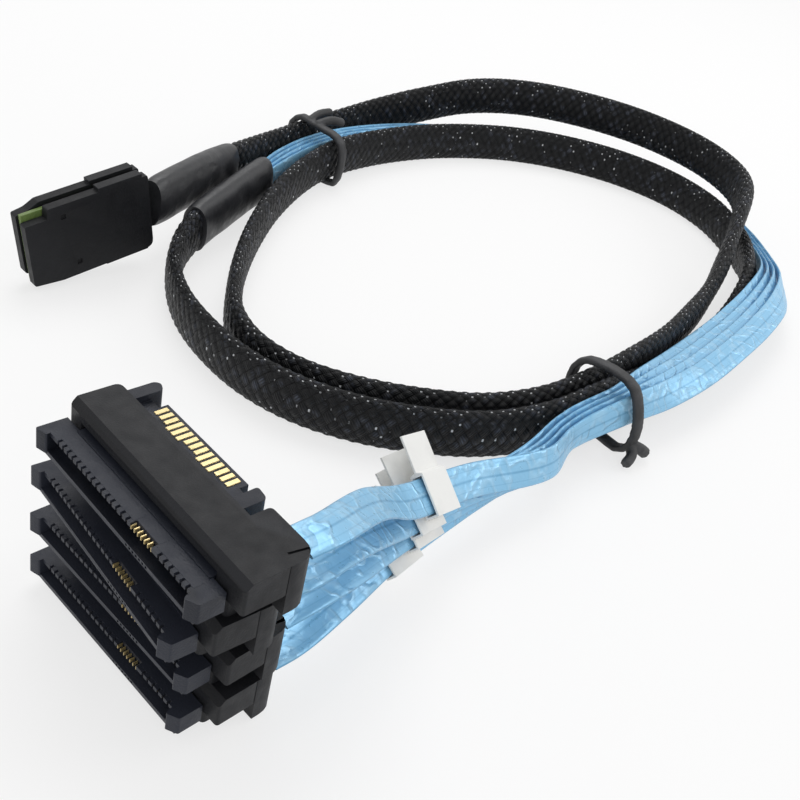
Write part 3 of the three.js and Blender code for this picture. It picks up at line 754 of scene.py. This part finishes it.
def sleeve_with_shrinks():
    """The sleeve, with the shrink tube at the plug, the one at the split and the two ties on it."""
    route = Route(SLEEVE)
    sleeve = tube("sleeve", route, sleeve_section, 1.0, route.length, SLEEVE_MESH, BRAID)
    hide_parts("braided_sleeve")
    at_plug = tube("plug_shrink", route, shrink_section(SHRINK_ONE), 0.0, SHRINK_ONE, SHRINK_MESH, SHRINK)
    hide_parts("heat_shrink_plug")
    split = Route([SLEEVE[-2], SLEEVE[-1], *SPLIT])
    stop = split.length - SPLIT_STOP
    at_split = tube(
        "split_shrink", split, shrink_section(split.length), SPLIT_START, stop, SHRINK_MESH, SHRINK
    )
    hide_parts("heat_shrink_split")
    ties = [softened(name, RUBBER) for name in ("tie_1", "tie_2")]


def ribbon_with_label(number):
    """One foil ribbon, from the split to its connector, with the paper label on it."""
    route = Route(ribbon_rows(COUNT - number))
    section = ribbon_section(number)
    ribbon = tube(f"foil_{number}", route, section, 0.0, route.length, RIBBON_MESH, FOIL, {"ridge": ridge})
    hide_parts(f"ribbon_{number}")
    label = dressed(f"label_{number}", PAPER, ROUND_PAPER)


def pad_boxes():
    """The gold pads on the power plug's tongue, a little wider than the CAD's."""
    boxes = []
    for i in range(PAD_COUNT):
        x = PAD_FIRST + i * PIN_PITCH
        half = PAD_W / 2 + PAD_SPREAD
        front = LONG_PAD_FRONT if i in LONG_PADS else PAD_FRONT
        boxes.append((x - half, x + half, front - PAD_SPREAD, PAD_BACK + PAD_SPREAD, *PAD_Z))
    return boxes


def contact_boxes():
    """The contacts in the receptacle's mouth, and the finer ones in the bridge's window."""
    boxes = []
    for first, count in CONTACT_ROWS:
        for i in range(count):
            x = first + i * PIN_PITCH
            boxes.append((x - CONTACT_W / 2, x + CONTACT_W / 2, *CONTACT_Y, *CONTACT_Z))
    for i in range(-BRIDGE_REACH, BRIDGE_REACH + 1):
        x = BRIDGE_AT + i * BRIDGE_PITCH
        boxes.append((x - BRIDGE_W / 2, x + BRIDGE_W / 2, *BRIDGE_Y, *BRIDGE_Z))
    return boxes


def connector(number):
    """One drive connector with its gold pads, its contacts and the roof over them."""
    place = stack_place(COUNT - number)
    dressed(f"overmould_{number}", MOULDING, ROUND_MOULDING)
    dressed(f"receptacle_{number}", INSULATOR, ROUND_RECEPTACLE)
    dressed(f"power_plug_{number}", INSULATOR, ROUND_PLUG)
    dressed(f"adapter_board_{number}", BOARD, ROUND_BOARD)
    blocks(f"power_pads_{number}", pad_boxes(), place, GOLD, ROUND_GOLD)
    blocks(f"contacts_{number}", contact_boxes(), place, GOLD, ROUND_GOLD)
    roof = [(x0, x1, y0, ROOF_BACK, *ROOF_Z) for x0, x1, y0 in ROOF_PARTS]
    blocks(f"receptacle_roof_{number}", roof, place, INSULATOR, ROUND_ROOF)


def plug():
    """The flat plug at the cable's single end."""
    dressed("plug_shell_near", MOULDING, ROUND_SHELL)
    dressed("plug_shell_far", MOULDING, ROUND_SHELL)
    dressed("paddle_card", BOARD, ROUND_CARD)
    dressed("plug_latch", STEEL, ROUND_PLUG)


camera()
floor()
surroundings()

MOULDING = plastic("moulded_plastic", (0.006, 0.0063, 0.0075), (0.015, 0.0157, 0.0185), 0.5)
INSULATOR = plastic("insulator_plastic", (0.009, 0.0105, 0.0155), (0.024, 0.027, 0.038), 0.42)
GOLD = gold()
STEEL = steel()
BOARD = board()
PAPER = paper()
SHRINK = shrink()
RUBBER = rubber()
FOIL = foil()
BRAID = braid()

sleeve_with_shrinks()
for number in range(1, COUNT + 1):
    ribbon_with_label(number)
for number in range(1, COUNT + 1):
    connector(number)
plug()
